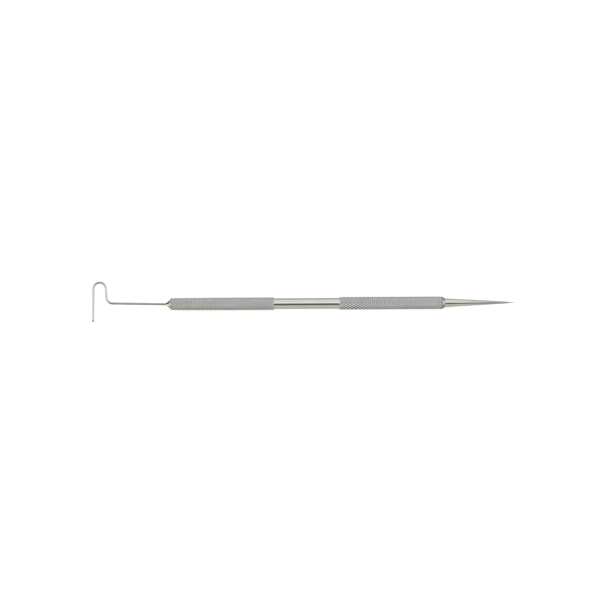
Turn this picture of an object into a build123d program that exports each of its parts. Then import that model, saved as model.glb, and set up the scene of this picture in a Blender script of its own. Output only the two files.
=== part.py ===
"""Double-ended scriber: a bent wire hook at one end and a straight tapered point at the other.

Row frame, millimetres: the origin is on the handle's axis at the middle of the polished waist,
+X runs along the axis to the straight point, the hook lies flat in the XY plane with its crook
towards +Y, and +Z is up when the tool lies on a bench.

The handle is a core rod. Its bright waist is left showing between two knurled sleeves, which are
pressed on its thinner ends. A bevelled nose with the brazed hook wire closes one end for good.
At the other end the straight point screws into the core through a loose collar.
"""

import os

from build123d import *

# ---- Driving dimensions -------------------------------------------------------------------
# Handle
GRIP_R = 2.55  # over the crests of the knurl
GRIP_LENGTH = 41.1
WAIST_R = 2.15
WAIST_LENGTH = 26.2
SPIGOT_R = 1.8  # the core rod under each sleeve
EDGE = 0.12  # broken edges on turned pieces
GRIP_END_CHAMFER = 0.2  # at the sleeves' outer ends, down to the nose and the collar

# Hook end
NOSE_LENGTH = 1.6  # the bevel that shows
NOSE_TIP_R = 0.75  # small flat around the wire
NOSE_SPIGOT_R = 1.2
NOSE_SPIGOT_LENGTH = 6.0
BRAZE_LENGTH = 0.45
BRAZE_R = 0.68
BRAZE_TIP_R = 0.55

# Hook wire, measured on its centreline
WIRE_R = 0.45
WIRE_END_CHAMFER = 0.12
SHANK_SET = 0.8  # from the nose to the slight set in the wire
SHANK_SET_BEND_R = 20.0
SHANK_RISE = 0.44  # how far the set brings the wire off the axis at the heel
HOOK_REACH = 24.1  # from the nose to the heel
HOOK_TOP = 8.74  # from the axis up to the crook
HOOK_DROP = 6.93  # from the axis down to the free end
HOOK_SPREAD = 4.79  # between the two legs at the top
NEAR_LEG_LEAN = 0.57  # neither hand-bent leg is quite square to the handle
FAR_LEG_LEAN = 0.25
HEEL_BEND_R = 2.4
CROOK_BEND_R = 2.45

# Point end
COLLAR_LENGTH = 1.0
COLLAR_LAND = 0.15  # straight rim next to the sleeve
COLLAR_TIP_R = 1.8
COLLAR_BORE_R = 1.3
POINT_LENGTH = 28.0
POINT_BASE_R = 1.76
POINT_TIP_LENGTH = 3.4  # the steeper grind that makes the tip
POINT_TIP_BASE_R = 0.4
POINT_TIP_R = 0.05

# Screw joint of the point, M2.5 x 0.45
THREAD_R = 1.25
THREAD_ROOT_R = 0.97
THREAD_PITCH = 0.45
THREAD_TURNS = 14  # turns of engagement
RELIEF_LENGTH = 0.5  # undercut behind the point's shoulder
TAPPED_BORE_R = 1.28
TAPPED_BORE_DEPTH = 7.0
DRILL_CONE_LENGTH = 0.75  # left by the tip of the tapping drill

# ---- Stations along the axis --------------------------------------------------------------
WAIST_END = WAIST_LENGTH / 2
GRIP_END = WAIST_END + GRIP_LENGTH
NOSE_END = GRIP_END + NOSE_LENGTH
COLLAR_END = GRIP_END + COLLAR_LENGTH
POINT_END = COLLAR_END + POINT_LENGTH
SHANK_LENGTH = COLLAR_LENGTH + THREAD_TURNS * THREAD_PITCH
GRIP_END_R = GRIP_R - GRIP_END_CHAMFER


def turned_outline(*points):
    """A closed outline of straight lines between (x, radius) points, turned round the axis."""
    outline = Polyline(*points, close=True)
    return revolve(make_face(outline.edges()), Axis.X, 360)


def core_rod():
    """Waist and two spigots in one bar, bored for the nose at -X and tapped for the point at +X."""
    waist = turned_outline(
        (-WAIST_END, 0), (-WAIST_END, WAIST_R), (WAIST_END, WAIST_R), (WAIST_END, 0)
    )
    spigots = turned_outline(
        (-GRIP_END, 0), (-GRIP_END, SPIGOT_R), (GRIP_END, SPIGOT_R), (GRIP_END, 0)
    )
    nose_bore_end = -GRIP_END + NOSE_SPIGOT_LENGTH
    nose_bore = turned_outline(
        (-GRIP_END, 0), (-GRIP_END, NOSE_SPIGOT_R), (nose_bore_end, NOSE_SPIGOT_R), (nose_bore_end, 0)
    )
    tapped_bore_end = GRIP_END - TAPPED_BORE_DEPTH
    tapped_bore = turned_outline(
        (GRIP_END, 0),
        (GRIP_END, TAPPED_BORE_R),
        (tapped_bore_end, TAPPED_BORE_R),
        (tapped_bore_end - DRILL_CONE_LENGTH, 0),
    )
    return waist + spigots - nose_bore - tapped_bore


def grip_sleeve(side):
    """A sleeve on one spigot, from the waist's shoulder to the end of the core; side is -1 or 1."""
    inner, outer = side * WAIST_END, side * GRIP_END
    return turned_outline(
        (inner, SPIGOT_R),
        (inner, GRIP_R - EDGE),
        (inner + side * EDGE, GRIP_R),
        (outer - side * GRIP_END_CHAMFER, GRIP_R),
        (outer, GRIP_END_R),
        (outer, SPIGOT_R),
    )


def hook_nose():
    """Bevelled end plug with a spigot in the core, drilled through for the wire."""
    rim_x = -GRIP_END
    tip_x = -NOSE_END
    spigot_x = rim_x + NOSE_SPIGOT_LENGTH
    return turned_outline(
        (tip_x, WIRE_R),
        (tip_x, NOSE_TIP_R),
        (rim_x, GRIP_END_R),
        (rim_x, NOSE_SPIGOT_R),
        (spigot_x, NOSE_SPIGOT_R),
        (spigot_x, WIRE_R),
    )


def hook_braze():
    """Blunt cone of brazing round the wire where it leaves the nose."""
    face_x = -NOSE_END
    far_x = face_x - BRAZE_LENGTH
    return turned_outline((face_x, WIRE_R), (face_x, BRAZE_R), (far_x, BRAZE_TIP_R), (far_x, WIRE_R))


def hook_route():
    """Centreline of the hook wire, from inside the nose to the end of the far leg."""
    heel_x = -NOSE_END - HOOK_REACH
    near_top_x = heel_x - NEAR_LEG_LEAN
    far_top_x = near_top_x - HOOK_SPREAD
    corners = (
        (-GRIP_END + NOSE_SPIGOT_LENGTH, 0),
        (-NOSE_END - SHANK_SET, 0),
        (heel_x, SHANK_RISE),
        (near_top_x, HOOK_TOP),
        (far_top_x, HOOK_TOP),
        (far_top_x - FAR_LEG_LEAN, -HOOK_DROP),
    )
    bends = (SHANK_SET_BEND_R, HEEL_BEND_R, CROOK_BEND_R, CROOK_BEND_R)
    return FilletPolyline(*corners, radius=bends)


def hook_wire():
    """Round spring-steel wire along the hook's route, its free end broken with a chamfer."""
    route = hook_route()
    section = Plane(origin=route @ 0, z_dir=route % 0) * Circle(WIRE_R)
    wire = sweep(section, path=route)
    free_end = wire.edges().sort_by(Axis.Y)[0]
    return chamfer(free_end, WIRE_END_CHAMFER)


def point_collar():
    """Smooth bevelled ring between the sleeve's end and the point's shoulder."""
    return turned_outline(
        (GRIP_END, COLLAR_BORE_R),
        (GRIP_END, GRIP_END_R),
        (GRIP_END + COLLAR_LAND, GRIP_END_R),
        (COLLAR_END, COLLAR_TIP_R),
        (COLLAR_END, COLLAR_BORE_R),
    )


def straight_point():
    """Long taper with a steeper tip grind, and a screwed shank behind its shoulder."""
    shank_x = COLLAR_END - SHANK_LENGTH
    lead_in = THREAD_R - THREAD_ROOT_R
    relief_x = COLLAR_END - RELIEF_LENGTH
    return turned_outline(
        (shank_x, 0),
        (shank_x, THREAD_ROOT_R),
        (shank_x + lead_in, THREAD_R),
        (relief_x, THREAD_R),
        (relief_x, THREAD_ROOT_R),
        (COLLAR_END, THREAD_ROOT_R),
        (COLLAR_END, POINT_BASE_R - EDGE),
        (COLLAR_END + EDGE, POINT_BASE_R),
        (POINT_END - POINT_TIP_LENGTH, POINT_TIP_BASE_R),
        (POINT_END, POINT_TIP_R),
        (POINT_END, 0),
    )


SUB_PARTS = {
    "core_rod": core_rod(),
    "hook_grip": grip_sleeve(-1),
    "point_grip": grip_sleeve(1),
    "hook_nose": hook_nose(),
    "hook_wire": hook_wire(),
    "hook_braze": hook_braze(),
    "point_collar": point_collar(),
    "straight_point": straight_point(),
}

os.makedirs("parts", exist_ok=True)
for node, solid in SUB_PARTS.items():
    export_step(solid, f"parts/{node}.step")
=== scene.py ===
"""Looks of the double-ended scriber: knurled sleeves, polished waist, brazed hook wire, screwed point.

Every length is in metres in the row frame: +X along the handle to the straight point, +Y towards
the hook's crook, +Z up. Each visible piece is a mesh of its own, built where its CAD node lies.
"""

import math

import bpy
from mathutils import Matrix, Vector, noise


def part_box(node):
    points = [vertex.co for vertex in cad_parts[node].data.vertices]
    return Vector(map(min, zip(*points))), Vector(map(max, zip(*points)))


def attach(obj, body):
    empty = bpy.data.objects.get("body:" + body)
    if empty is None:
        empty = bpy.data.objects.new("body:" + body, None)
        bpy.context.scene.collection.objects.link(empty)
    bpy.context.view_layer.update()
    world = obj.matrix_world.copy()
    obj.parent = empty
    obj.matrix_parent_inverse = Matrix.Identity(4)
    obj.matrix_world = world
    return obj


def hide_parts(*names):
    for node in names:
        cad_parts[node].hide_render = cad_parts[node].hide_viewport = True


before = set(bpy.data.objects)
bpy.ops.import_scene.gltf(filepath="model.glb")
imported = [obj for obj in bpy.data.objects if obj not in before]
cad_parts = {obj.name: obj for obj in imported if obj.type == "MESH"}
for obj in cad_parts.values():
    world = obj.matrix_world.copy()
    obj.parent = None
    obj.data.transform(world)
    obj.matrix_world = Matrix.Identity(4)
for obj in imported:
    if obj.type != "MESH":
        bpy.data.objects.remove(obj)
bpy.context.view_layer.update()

MM = 0.001
TURN = 2 * math.pi


# ---- Stations and radii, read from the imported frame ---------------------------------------
def span(node):
    """Where a node starts and ends along the handle."""
    low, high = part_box(node)
    return low.x, high.x


def outer_radius(node):
    """Largest radius of a node that is turned round the handle's axis."""
    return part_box(node)[1].z


WAIST_START, WAIST_END = span("hook_grip")[1], span("point_grip")[0]
CORE_START, CORE_END = span("core_rod")
NOSE_START, NOSE_SPIGOT_END = span("hook_nose")
BRAZE_START = span("hook_braze")[0]
SHANK_START, POINT_END = span("straight_point")
COLLAR_END = span("point_collar")[1]

GRIP_R = outer_radius("hook_grip")
WAIST_R = outer_radius("core_rod")
GRIP_END_R = outer_radius("hook_nose")
BRAZE_R = outer_radius("hook_braze")
WIRE_R = outer_radius("hook_wire")
POINT_BASE_R = outer_radius("straight_point")

# Sizes that the boxes don't give
SPIGOT_R = 1.8 * MM
NOSE_SPIGOT_R = 1.2 * MM
NOSE_TIP_R = 0.75 * MM
BRAZE_TIP_R = 0.55 * MM
COLLAR_LAND = 0.15 * MM
COLLAR_TIP_R = 1.8 * MM
COLLAR_BORE_R = 1.3 * MM
SEAT_GAP = 0.01 * MM  # between the collar and the point's shoulder
TAPPED_BORE_R = 1.28 * MM
TAPPED_BORE_DEPTH = 7.0 * MM
DRILL_CONE_LENGTH = 0.75 * MM
THREAD_R = 1.25 * MM
THREAD_ROOT_R = 0.97 * MM
THREAD_PITCH = 0.45 * MM
THREAD_CREST = 1.25  # with the flank's steepness this leaves flats at crest and root
THREAD_FLANK = 1.6
RELIEF_LENGTH = 0.5 * MM
POINT_TIP_LENGTH = 3.4 * MM
POINT_TIP_BASE_R = 0.4 * MM
POINT_TIP_R = 0.05 * MM

# Knurl: two families of helical grooves that cross
KNURL_TEETH = 16
KNURL_PITCH = 1.57 * MM  # along the handle
KNURL_DEPTH = 0.2 * MM
KNURL_LAND = 0.1  # share of each tooth that is left flat at its crest
KNURL_STEPS = 10  # mesh steps in a tooth, an even number
WAIST_CHAMFER = 0.12 * MM  # at a sleeve's end against the waist
END_ROUNDING = 0.5 * MM  # along a sleeve's outer end, down to the nose or the collar
NOSE_END_SLIMMING = 0.11 * MM  # the knurl stands lower towards the nose
SLIMMING_LENGTH = 22 * MM

# Hook wire's centreline
HOOK_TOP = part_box("hook_wire")[1].y - WIRE_R
HOOK_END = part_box("hook_wire")[0].y
SHANK_SET = 0.8 * MM
SHANK_SET_BEND_R = 20 * MM
SHANK_RISE = 0.44 * MM
HOOK_REACH = 24.1 * MM
HOOK_SPREAD = 4.79 * MM
NEAR_LEG_LEAN = 0.57 * MM
FAR_LEG_LEAN = 0.25 * MM
HEEL_BEND_R = 2.4 * MM
CROOK_BEND_R = 2.45 * MM
WIRE_END_CHAMFER = 0.12 * MM


# ---- Mesh tools ---------------------------------------------------------------------------
def add_mesh(name, points, faces, sharp_angle=32):
    """A new object from points and faces, smooth but for edges sharper than sharp_angle degrees."""
    mesh = bpy.data.meshes.new(name)
    mesh.from_pydata(points, [], faces)
    mesh.validate()
    mesh.shade_smooth()
    mesh.set_sharp_from_angle(angle=math.radians(sharp_angle))
    piece = bpy.data.objects.new(name, mesh)
    bpy.context.scene.collection.objects.link(piece)
    return piece


def turn_rows(name, rows, segments, closed=False, crossed=False, sharp_angle=32):
    """Rows of (x, radius), radius a number or a function of the angle, joined round the handle's axis.

    closed joins the last row to the first, as on a sleeve; otherwise both end rows are on the axis.
    crossed splits the faces along both diagonals in turn, as crossed grooves need.
    """
    points = []
    starts = []
    for x, radius in rows:
        starts.append(len(points))
        if radius == 0:
            points.append((x, 0, 0))
            continue
        for i in range(segments):
            angle = TURN * i / segments
            r = radius(angle) if callable(radius) else radius
            points.append((x, r * math.cos(angle), r * math.sin(angle)))
    faces = []
    pairs = [(j, j + 1) for j in range(len(rows) - 1)]
    if closed:
        pairs.append((len(rows) - 1, 0))
    for j, k in pairs:
        for i in range(segments):
            n = (i + 1) % segments
            a, b = starts[j] + i, starts[j] + n
            c, d = starts[k] + n, starts[k] + i
            if rows[j][1] == 0:
                faces.append((starts[j], c, d))
            elif rows[k][1] == 0:
                faces.append((a, b, starts[k]))
            elif not crossed:
                faces.append((a, b, c, d))
            elif (i + j) % 2 == 0:
                faces += [(a, c, d), (a, b, c)]
            else:
                faces += [(a, b, d), (b, c, d)]
    return add_mesh(name, points, faces, sharp_angle)


def rounded(outline, corners, steps=5):
    """An outline of (x, radius) points, with an arc in place of each corner in {index: bend radius}."""
    result = []
    for index, point in enumerate(outline):
        here = Vector(point)
        if index not in corners:
            result.append(tuple(here))
            continue
        back = (Vector(outline[index - 1]) - here).normalized()
        ahead = (Vector(outline[(index + 1) % len(outline)]) - here).normalized()
        half = back.angle(ahead) / 2
        bend = corners[index]
        centre = here + (back + ahead).normalized() * bend / math.sin(half)
        start = here + back * bend / math.tan(half) - centre
        sweep = (math.pi - 2 * half) * (1 if back.cross(ahead) < 0 else -1)
        for step in range(steps + 1):
            angle = math.atan2(start.y, start.x) + sweep * step / steps
            result.append(tuple(centre + bend * Vector((math.cos(angle), math.sin(angle)))))
    return result


def in_place(piece, body, node, material):
    """Puts the piece on its body in place of its CAD node, with its material."""
    piece.data.materials.append(material)
    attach(piece, body)
    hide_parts(node)
    return piece


# ---- Shading tools ------------------------------------------------------------------------
class Shading:
    """A node tree, with short ways to build it up."""

    def __init__(self, owner):
        owner.use_nodes = True
        self.tree = owner.node_tree

    def node(self, kind, settings=(), **inputs):
        """A node with its settings, and its inputs given by name or as i0, i1... for their place."""
        made = self.tree.nodes.new(kind)
        for key, value in dict(settings).items():
            setattr(made, key, value)
        for key, value in inputs.items():
            by_place = key[0] == "i" and key[1:].isdigit()
            self.plug(value, made.inputs[int(key[1:]) if by_place else key])
        return made

    def plug(self, value, socket):
        """Links a socket to another, or sets it to a constant."""
        if isinstance(value, bpy.types.NodeSocket):
            self.tree.links.new(value, socket)
        elif socket.type == "RGBA":
            socket.default_value = (*value, 1)
        else:
            socket.default_value = value

    def math(self, operation, a, b=0.0):
        return self.node("ShaderNodeMath", {"operation": operation}, i0=a, i1=b).outputs[0]

    def ramp(self, value, *stops):
        """Colours or numbers by value; stops are (place, colour or number)."""
        made = self.node("ShaderNodeValToRGB", i0=value)
        points = made.color_ramp.elements
        while len(points) < len(stops):
            points.new(0.5)
        for point, (place, shade) in zip(points, stops):
            shade = (shade,) * 3 if isinstance(shade, (int, float)) else shade
            point.position = place
            point.color = (*shade, 1)
        return made.outputs[0]

    def spread(self, value, low, high):
        """value as 0 at low to 1 at high, and no further."""
        settings = {"From Min": low, "From Max": high}
        return self.node("ShaderNodeMapRange", i0=value, **settings).outputs[0]

    def blend(self, factor, a, b, kind="MIX"):
        """Colour a turning into colour b as factor goes from 0 to 1."""
        settings = {"data_type": "RGBA", "blend_type": kind}
        return self.node("ShaderNodeMix", settings, i0=factor, i6=a, i7=b).outputs[2]


class Steel(Shading):
    """A metal whose colour, roughness and relief are built up from nodes in object coordinates."""

    def __init__(self, name):
        self.material = bpy.data.materials.new(name)
        super().__init__(self.material)
        self.shader = self.tree.nodes["Principled BSDF"]
        self.shader.inputs["Metallic"].default_value = 1.0
        self.place = self.node("ShaderNodeTexCoord").outputs["Object"]

    def stretched(self, scale):
        """Object coordinates, each multiplied by its own scale."""
        settings = {"operation": "MULTIPLY"}
        return self.node("ShaderNodeVectorMath", settings, i0=self.place, i1=scale).outputs[0]

    def noise(self, scale, detail=3.0):
        """Noise of 0 to 1; scale is in features a metre, one number or one for each axis."""
        scale = (scale,) * 3 if isinstance(scale, (int, float)) else scale
        place = self.stretched(scale)
        return self.node("ShaderNodeTexNoise", Vector=place, Scale=1.0, Detail=detail).outputs[0]

    def axis(self, index):
        """One object coordinate: 0 along the handle, 1 towards the crook."""
        return self.node("ShaderNodeSeparateXYZ", i0=self.place).outputs[index]

    def along(self, start, end):
        """0 at start to 1 at end, along the handle."""
        return self.spread(self.axis(0), start, end)

    def radius(self):
        """Distance from the handle's axis."""
        across = self.stretched((0, 1, 1))
        return self.node("ShaderNodeVectorMath", {"operation": "LENGTH"}, i0=across).outputs["Value"]

    def finish(self, colour, roughness, relief=None, depth=0.0):
        """Links the shader's colour, roughness and relief; depth is the relief's height in metres."""
        self.plug(colour, self.shader.inputs["Base Color"])
        self.plug(roughness, self.shader.inputs["Roughness"])
        if relief is not None:
            bump = self.node("ShaderNodeBump", Height=relief, Distance=depth, Strength=1.0)
            self.plug(bump.outputs[0], self.shader.inputs["Normal"])
        return self.material


# ---- Materials ----------------------------------------------------------------------------
def satin_grip():
    """Matt plating over the knurl, with painted shade in its grooves and a painted highlight on its
    crests, stained near the nose.
    """
    steel = Steel("satin_grip")
    towards_nose = steel.along(CORE_START + SLIMMING_LENGTH, CORE_START)
    slimming = steel.math("MULTIPLY", towards_nose, NOSE_END_SLIMMING)
    full_radius = steel.math("ADD", steel.radius(), slimming)
    height = steel.spread(full_radius, GRIP_R - KNURL_DEPTH, GRIP_R)
    grain = steel.noise(9000)
    cloud = steel.noise(260, detail=2)
    dirt = steel.ramp(steel.noise((150, 300, 300), detail=2), (0.35, 0.0), (0.65, 1.0))
    # Painted shade: the grooves get a dark colour, darker still in random dirty patches.
    groove_dirt_and_painted_shade = steel.blend(dirt, (0.145, 0.154, 0.145), (0.11, 0.117, 0.11))
    # Painted highlight: the crests get a pale colour that varies at random.
    crest = steel.blend(cloud, (0.385, 0.409, 0.385), (0.447, 0.471, 0.442))
    # A yellowish stain near the nose, where the painted groove shade is deeper and the painted crest
    # highlight paler.
    stain = steel.along(CORE_START + 3.6 * MM, CORE_START + 0.6 * MM)
    groove_dirt_and_painted_shade = steel.blend(stain, groove_dirt_and_painted_shade, (0.07, 0.067, 0.047))
    crest = steel.blend(stain, crest, (0.53, 0.53, 0.465))
    # The knurl's height picks the painted groove shade or the painted crest highlight.
    colour = steel.blend(steel.ramp(height, (0.24, 0.0), (0.54, 1.0)), groove_dirt_and_painted_shade, crest)
    colour = steel.blend(0.15, colour, steel.ramp(grain, (0.3, 0.25), (0.7, 0.85)), "OVERLAY")
    wear = steel.math("MULTIPLY", height, -0.10)
    roughness = steel.math("ADD", wear, steel.ramp(grain, (0.3, 0.42), (0.7, 0.52)))
    return steel.finish(colour, roughness, grain, 0.006 * MM)


def polished_waist():
    """Mirror polish, with the faintest turning lines and a few smudges."""
    steel = Steel("polished_waist")
    lines = steel.noise((26000, 500, 500), detail=2)
    smudge = steel.noise((180, 500, 500), detail=4)
    colour = steel.blend(smudge, (0.43, 0.455, 0.42), (0.48, 0.505, 0.465))
    roughness = steel.ramp(smudge, (0.35, 0.05), (0.75, 0.12))
    return steel.finish(colour, roughness, lines, 0.0006 * MM)


def turned_nose():
    """Turned bevel, straw-coloured from the brazing heat, with dark flux left on it in patches, a
    painted cream highlight beside the braze on the side away from the crook, and its tip darker on the
    crook side.
    """
    steel = Steel("nose_steel")
    lines = steel.noise((30000, 900, 900), detail=2)
    heat = steel.math("ADD", steel.along(CORE_START, NOSE_START), steel.math("MULTIPLY", lines, 0.4))
    tint = steel.blend(heat, (0.44, 0.455, 0.41), (0.53, 0.525, 0.415))
    flux = steel.ramp(steel.noise(1700, detail=4), (0.5, 0.0), (0.6, 0.85))
    # Painted highlight: a pale cream patch beside the braze, on the side away from the crook.
    beside_braze = steel.along(NOSE_START + 1.2 * MM, NOSE_START + 0.6 * MM)
    painted_highlight = steel.math("MULTIPLY", beside_braze, steel.spread(steel.axis(1), 0.1 * MM, -0.4 * MM))
    tint = steel.blend(painted_highlight, tint, (0.78, 0.78, 0.66))
    # Darker on the crook side at the very tip.
    at_tip = steel.along(NOSE_START + 0.8 * MM, NOSE_START + 0.45 * MM)
    nose_tip_crook_side_dark = steel.math("MULTIPLY", at_tip, steel.spread(steel.axis(1), -0.1 * MM, 0.2 * MM))
    colour = steel.blend(steel.math("MAXIMUM", flux, nose_tip_crook_side_dark), tint, (0.06, 0.058, 0.04))
    roughness = steel.ramp(flux, (0.0, 0.3), (1.0, 0.6))
    return steel.finish(colour, roughness, lines, 0.0015 * MM)


def spring_wire():
    """Drawn wire, with fine scratches and a slight film."""
    steel = Steel("spring_wire")
    grain = steel.noise(7000, detail=4)
    film = steel.noise(600, detail=3)
    colour = steel.blend(film, (0.28, 0.283, 0.268), (0.33, 0.333, 0.315))
    cut_end = steel.spread(steel.axis(1), HOOK_END + 0.75 * MM, HOOK_END + 0.45 * MM)
    colour = steel.blend(cut_end, colour, (0.13, 0.13, 0.14))
    roughness = steel.ramp(film, (0.3, 0.10), (0.7, 0.18))
    return steel.finish(colour, roughness, grain, 0.001 * MM)


def braze_metal():
    """Dull silver-brass filler, darker on the side towards the crook, with a painted cream highlight on
    the side away from it.
    """
    steel = Steel("braze")
    speck = steel.noise(4500, detail=4)
    from_crook = steel.spread(steel.axis(1), 0.7 * MM, -0.7 * MM)
    side = steel.math("ADD", from_crook, steel.math("MULTIPLY", speck, 0.5))
    # Dark on the crook side, dull between, and a painted cream highlight on the far side, speckled at
    # random.
    braze_crook_side_dark, dull, painted_highlight = (0.03, 0.03, 0.02), (0.40, 0.39, 0.29), (0.78, 0.77, 0.62)
    colour = steel.ramp(side, (0.60, braze_crook_side_dark), (0.85, dull), (1.0, painted_highlight))
    roughness = steel.ramp(side, (0.6, 0.65), (0.95, 0.3))
    return steel.finish(colour, roughness, speck, 0.02 * MM)


def turned_collar():
    """Smooth turned ring."""
    steel = Steel("collar_steel")
    lines = steel.noise((30000, 900, 900), detail=2)
    cloud = steel.noise(1800)
    colour = steel.blend(cloud, (0.19, 0.20, 0.185), (0.25, 0.262, 0.243))
    roughness = steel.ramp(cloud, (0.3, 0.30), (0.7, 0.42))
    return steel.finish(colour, roughness, lines, 0.0012 * MM)


def ground_point():
    """Tool steel ground round its taper, darker and oily in its thread."""
    steel = Steel("point_steel")
    lines = steel.noise((22000, 700, 700), detail=3)
    cloud = steel.noise((300, 900, 900), detail=3)
    ground = steel.blend(cloud, (0.43, 0.425, 0.39), (0.50, 0.49, 0.45))
    tip = steel.blend(cloud, (0.28, 0.285, 0.275), (0.35, 0.355, 0.345))
    taper = steel.blend(steel.along(COLLAR_END + 8 * MM, POINT_END - 8 * MM), ground, tip)
    thread = steel.blend(cloud, (0.20, 0.195, 0.18), (0.30, 0.29, 0.27))
    on_taper = steel.along(COLLAR_END - 0.2 * MM, COLLAR_END)
    colour = steel.blend(on_taper, thread, taper)
    roughness = steel.ramp(cloud, (0.3, 0.10), (0.7, 0.20))
    return steel.finish(colour, roughness, lines, 0.0012 * MM)


# ---- Handle -------------------------------------------------------------------------------
def knurl_radius(x, angle):
    """Height of the diamond knurl at a place on a sleeve: the lower of two families of grooves."""
    around = angle * KNURL_TEETH / TURN
    along = x / KNURL_PITCH
    drop = 0
    for phase in (around + along, around - along):
        from_crest = abs(2 * (phase % 1) - 1)
        drop = max(drop, (from_crest - KNURL_LAND) / (1 - KNURL_LAND))
    return GRIP_R - KNURL_DEPTH * drop


def sleeve(name, waist_x, outer_x, slimming=0.0):
    """A knurled sleeve over the core, chamfered against the waist and rounded at its outer end.

    slimming lowers the knurl towards the outer end.
    """
    step = KNURL_PITCH / KNURL_STEPS
    start, end = sorted((waist_x, outer_x))
    stations = [step * j for j in range(math.ceil(start / step), math.floor(end / step) + 1)]
    stations = [x for x in stations if start + step / 4 < x < end - step / 4]
    if round(stations[0] / step) % 2 == 1:
        stations = stations[1:]

    def outside(x):
        from_waist, from_end = abs(x - waist_x), abs(x - outer_x)
        chamfer = max(0, WAIST_CHAMFER - from_waist * 0.6)
        bend = max(0, 1 - from_end / END_ROUNDING)
        rounding = (GRIP_R - GRIP_END_R) * (1 - math.sqrt(1 - bend * bend))
        lower = slimming * max(0, 1 - from_end / SLIMMING_LENGTH)
        limit = GRIP_R - chamfer - rounding
        lower = max(lower, 0.5 * rounding)
        return lambda angle: min(knurl_radius(x, angle) - lower, limit)

    rows = [(start, SPIGOT_R), (start, outside(start))]
    rows += [(x, outside(x)) for x in stations]
    rows += [(end, outside(end)), (end, SPIGOT_R)]
    segments = KNURL_TEETH * KNURL_STEPS
    return turn_rows(name, rows, segments, closed=True, crossed=True, sharp_angle=24)


def core_rod():
    """The core, its waist's shoulders hidden against the sleeves, its bores open at both ends."""
    rows = [
        (NOSE_SPIGOT_END, 0),
        (NOSE_SPIGOT_END, NOSE_SPIGOT_R),
        (CORE_START, NOSE_SPIGOT_R),
        (CORE_START, SPIGOT_R),
        (WAIST_START, SPIGOT_R),
        (WAIST_START, WAIST_R),
        (WAIST_START / 2, WAIST_R),
        (0, WAIST_R),
        (WAIST_END / 2, WAIST_R),
        (WAIST_END, WAIST_R),
        (WAIST_END, SPIGOT_R),
        (CORE_END, SPIGOT_R),
        (CORE_END, TAPPED_BORE_R),
        (CORE_END - TAPPED_BORE_DEPTH, TAPPED_BORE_R),
        (CORE_END - TAPPED_BORE_DEPTH - DRILL_CONE_LENGTH, 0),
    ]
    return turn_rows("core", rows, 128)


def hook_nose():
    """Bevelled plug, its bevel running straight out to the sleeve, drilled for the wire."""
    outline = [
        (NOSE_START, WIRE_R),
        (NOSE_START, NOSE_TIP_R),
        (CORE_START, GRIP_END_R),
        (CORE_START, NOSE_SPIGOT_R),
        (NOSE_SPIGOT_END, NOSE_SPIGOT_R),
        (NOSE_SPIGOT_END, WIRE_R),
    ]
    edges = {1: 0.06 * MM}
    return turn_rows("nose", rounded(outline, edges), 96, closed=True)


def braze_fillet():
    """Fillet of filler round the wire, hollow and a little lumpy."""
    steps = 10
    length = NOSE_START - BRAZE_START
    rows = [(NOSE_START, WIRE_R)]
    for step in range(steps + 1):
        out = step / steps
        x = NOSE_START - length * out
        radius = BRAZE_TIP_R + (BRAZE_R - BRAZE_TIP_R) * (1 - out) ** 2

        def lumpy(angle, x=x, radius=radius, out=out):
            place = Vector((x, radius * math.cos(angle), radius * math.sin(angle)))
            return radius + 0.08 * MM * noise.noise(place * 3000) * (1 - out * out)

        rows.append((x, lumpy))
    rows.append((BRAZE_START - 0.06 * MM, WIRE_R + 0.04 * MM))
    rows.append((BRAZE_START - 0.08 * MM, WIRE_R))
    return turn_rows("braze", rows, 64, closed=True, sharp_angle=60)


def wire_route():
    """Points along the wire's centreline: straight runs joined by arcs."""
    heel_x = NOSE_START - HOOK_REACH
    near_top_x = heel_x - NEAR_LEG_LEAN
    far_top_x = near_top_x - HOOK_SPREAD
    corners = [
        (NOSE_SPIGOT_END, 0),
        (NOSE_START - SHANK_SET, 0),
        (heel_x, SHANK_RISE),
        (near_top_x, HOOK_TOP),
        (far_top_x, HOOK_TOP),
        (far_top_x - FAR_LEG_LEAN, HOOK_END),
    ]
    bends = {1: SHANK_SET_BEND_R, 2: HEEL_BEND_R, 3: CROOK_BEND_R, 4: CROOK_BEND_R}
    return [Vector((x, y, 0)) for x, y in rounded(corners, bends, steps=20)]


def hook_wire():
    """Round wire swept along its route, its free end chamfered."""
    sides = 32
    up = Vector((0, 0, 1))
    route = wire_route()
    last_run = (route[-1] - route[-2]).normalized()
    route[-1:] = [route[-1] - last_run * WIRE_END_CHAMFER, route[-1]]
    points = []
    for index, here in enumerate(route):
        before = route[max(index - 1, 0)]
        after = route[min(index + 1, len(route) - 1)]
        ahead = (after - before).normalized()
        side = up.cross(ahead)
        radius = WIRE_R - (WIRE_END_CHAMFER if index == len(route) - 1 else 0)
        for i in range(sides):
            angle = TURN * i / sides
            points.append(here + radius * (math.cos(angle) * side + math.sin(angle) * up))
    faces = [tuple(range(sides)), tuple(reversed(range(len(points) - sides, len(points))))]
    for j in range(len(route) - 1):
        for i in range(sides):
            n = (i + 1) % sides
            a, b = j * sides + i, j * sides + n
            faces.append((b, a, a + sides, b + sides))
    return add_mesh("wire", points, faces)


# ---- Point end ----------------------------------------------------------------------------
def collar():
    """Bevelled ring with broken edges."""
    seat = COLLAR_END - SEAT_GAP
    outline = [
        (CORE_END, COLLAR_BORE_R),
        (CORE_END, GRIP_END_R),
        (CORE_END + COLLAR_LAND, GRIP_END_R),
        (seat, COLLAR_TIP_R),
        (seat, COLLAR_BORE_R),
    ]
    edges = {1: 0.05 * MM, 2: 0.2 * MM, 3: 0.06 * MM}
    return turn_rows("collar", rounded(outline, edges), 96, closed=True)


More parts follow.
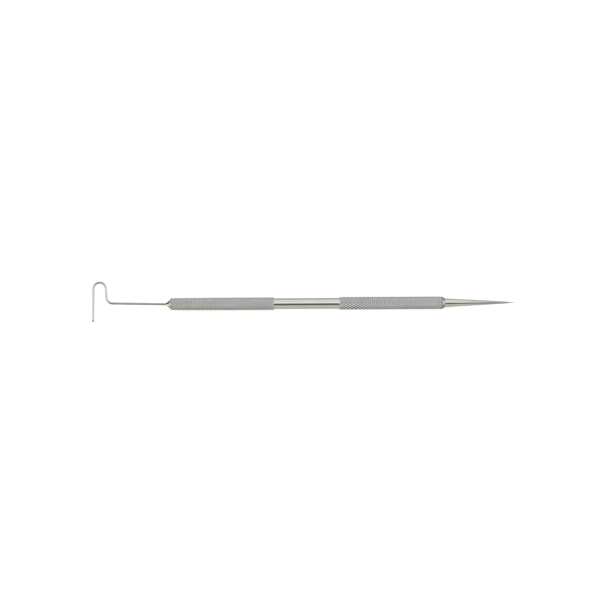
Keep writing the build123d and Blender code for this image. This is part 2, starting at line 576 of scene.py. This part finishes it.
def thread_radius(x, angle):
    """Height of the right-hand screw thread at a place on the shank."""
    phase = (x / THREAD_PITCH - angle / TURN) % 1
    rise = THREAD_CREST - abs(2 * phase - 1) * THREAD_FLANK
    return THREAD_ROOT_R + (THREAD_R - THREAD_ROOT_R) * min(max(rise, 0), 1)


def screwed_shank():
    """Rows of the thread, from its cut end to the relief behind the point's shoulder."""
    lead_in = THREAD_R - THREAD_ROOT_R
    start, end = SHANK_START, COLLAR_END - RELIEF_LENGTH
    steps = round((end - start) / THREAD_PITCH * 12)
    rows = [(start, 0)]
    for step in range(steps + 1):
        x = start + (end - start) * step / steps
        limit = THREAD_R - max(0, lead_in - (x - start)) - max(0, 0.2 * MM - (end - x))

        def radius(angle, x=x, limit=limit):
            return min(thread_radius(x, angle), limit)

        rows.append((x, radius))
    return rows + [(end, THREAD_ROOT_R)]


def straight_point():
    """Screwed shank, relief, shoulder, long taper and the steeper grind at its tip."""
    tip_start = POINT_END - POINT_TIP_LENGTH
    taper = [
        (COLLAR_END, THREAD_ROOT_R),
        (COLLAR_END, POINT_BASE_R),
        (tip_start, POINT_TIP_BASE_R),
        (POINT_END, POINT_TIP_R),
        (POINT_END, 0),
    ]
    rows = screwed_shank() + rounded(taper, {1: 0.1 * MM, 2: 6 * MM, 3: 0.03 * MM}, steps=8)
    return turn_rows("point", rows, 96)


grip_finish = satin_grip()
hook_sleeve = sleeve("grip_hook_end", WAIST_START, CORE_START, NOSE_END_SLIMMING)
in_place(hook_sleeve, "handle", "hook_grip", grip_finish)
point_sleeve = sleeve("grip_point_end", WAIST_END, CORE_END)
in_place(point_sleeve, "handle", "point_grip", grip_finish)
in_place(core_rod(), "handle", "core_rod", polished_waist())
in_place(hook_nose(), "handle", "hook_nose", turned_nose())
in_place(hook_wire(), "handle", "hook_wire", spring_wire())
in_place(braze_fillet(), "handle", "hook_braze", braze_metal())
in_place(collar(), "collar", "point_collar", turned_collar())
in_place(straight_point(), "point", "straight_point", ground_point())


# ---- Floor, light and camera --------------------------------------------------------------
def floor():
    """Pale matt floor under the sleeves, lit a little from behind."""
    size = 3.0
    level = -GRIP_R
    corners = [(-size, -size, level), (size, -size, level), (size, size, level), (-size, size, level)]
    piece = add_mesh("floor", corners, [(0, 1, 2, 3)])
    paper = Steel("floor_paper")
    paper.shader.inputs["Metallic"].default_value = 0.0
    paper.shader.inputs["Specular IOR Level"].default_value = 0.1
    paper.shader.inputs["Emission Color"].default_value = (1, 1, 1, 1)
    paper.shader.inputs["Emission Strength"].default_value = 0.68
    tone = paper.ramp(paper.noise(40, detail=2), (0.3, 0.23), (0.7, 0.25))
    rough = paper.ramp(paper.noise(400, detail=2), (0.3, 0.85), (0.7, 0.95))
    piece.data.materials.append(paper.finish(tone, rough))
    piece.visible_glossy = False


# Strip lights and panels parallel to the tool: angle from overhead towards +Y in degrees,
# brightness, and warmth from 0, neutral, to 1.
STRIPS = (
    (-180, 0.50, 0.2),
    (-150, 0.55, 0.3),
    (-120, 0.88, 0.5),
    (-97, 0.93, 0.5),
    (-68, 1.06, 0.6),
    (-43, 1.00, 0.6),
    (-20, 1.20, 0.3),
    (0, 1.50, 0.0),
    (22, 1.80, 0.0),
    (44, 1.12, 0.0),
    (67, 1.62, 0.0),
    (97, 0.84, 0.0),
    (125, 0.82, 0.0),
    (150, 0.55, 0.0),
    (180, 0.50, 0.2),
)
# A small dark flag hangs just on the -Y side of overhead
FLAG_ANGLES = (-41, -36, 1, 5)  # where its edges start and end, in degrees
FLAG_BRIGHTNESS = 0.2
FLAG_REACH = (0.24, 0.14)  # how far it reaches each way along the tool, as a direction's X
END_LIGHT = 2.2  # how much brighter the panels are towards the tool's ends


def studio():
    """Soft light from all round, with strips, end panels and a flag for the polish to mirror."""
    world = bpy.data.worlds.new("studio")
    bpy.context.scene.world = world
    shading = Shading(world)
    direction = shading.node("ShaderNodeTexCoord").outputs["Generated"]
    split = shading.node("ShaderNodeSeparateXYZ", i0=direction)
    angle = shading.math("ARCTAN2", split.outputs[1], split.outputs[2])
    turn = shading.spread(angle, -math.pi, math.pi)
    towards_end = shading.math("ABSOLUTE", split.outputs[0])
    stops = []
    for degrees, brightness, warmth in STRIPS:
        tint = (brightness, brightness * (1 - 0.03 * warmth), brightness * (1 - 0.10 * warmth))
        stops.append((degrees / 360 + 0.5, tint))
    panels = shading.ramp(turn, *stops)
    near_end = shading.spread(towards_end, 0.3, 0.7)
    above_floor = shading.spread(split.outputs[2], 0.0, 0.3)
    ends = shading.math("MULTIPLY", near_end, above_floor)
    ends = shading.math("ADD", shading.math("MULTIPLY", ends, END_LIGHT - 1), 1.0)
    scale = {"operation": "SCALE"}
    panels = shading.node("ShaderNodeVectorMath", scale, i0=panels, Scale=ends).outputs[0]
    shades = zip(FLAG_ANGLES, (0.0, 1.0, 1.0, 0.0))
    across = shading.ramp(turn, *[(degrees / 360 + 0.5, shade) for degrees, shade in shades])
    flag = shading.math("MULTIPLY", across, shading.spread(towards_end, *FLAG_REACH))
    colour = shading.blend(flag, panels, (FLAG_BRIGHTNESS,) * 3)
    shading.plug(colour, shading.tree.nodes["Background"].inputs[0])


def overhead_light():
    """A broad soft lamp that whitens the floor."""
    lamp = bpy.data.lights.new("overhead", "AREA")
    lamp.shape = "DISK"
    lamp.size = 3.0
    lamp.energy = 30
    piece = bpy.data.objects.new("overhead", lamp)
    piece.location = (0, -1.1, 3.0)
    piece.visible_glossy = False
    bpy.context.scene.collection.objects.link(piece)


FRAME_WIDTH = 0.240
CAMERA_HEIGHT = 2.0
FRAME_CENTRE = (-2.69 * MM, 1.41 * MM)
CAMERA_ROLL = -0.29


def camera():
    """Straight above the tool with a long lens, the handle level across the frame."""
    lens = bpy.data.cameras.new("camera")
    lens.sensor_width = 36
    lens.lens = lens.sensor_width * CAMERA_HEIGHT / FRAME_WIDTH
    lens.clip_end = 10
    piece = bpy.data.objects.new("camera", lens)
    piece.location = (*FRAME_CENTRE, CAMERA_HEIGHT)
    piece.rotation_euler = (0, 0, math.radians(CAMERA_ROLL))
    bpy.context.scene.collection.objects.link(piece)
    bpy.context.scene.camera = piece
    bpy.context.scene.view_settings.view_transform = "Standard"


floor()
studio()
overhead_light()
camera()
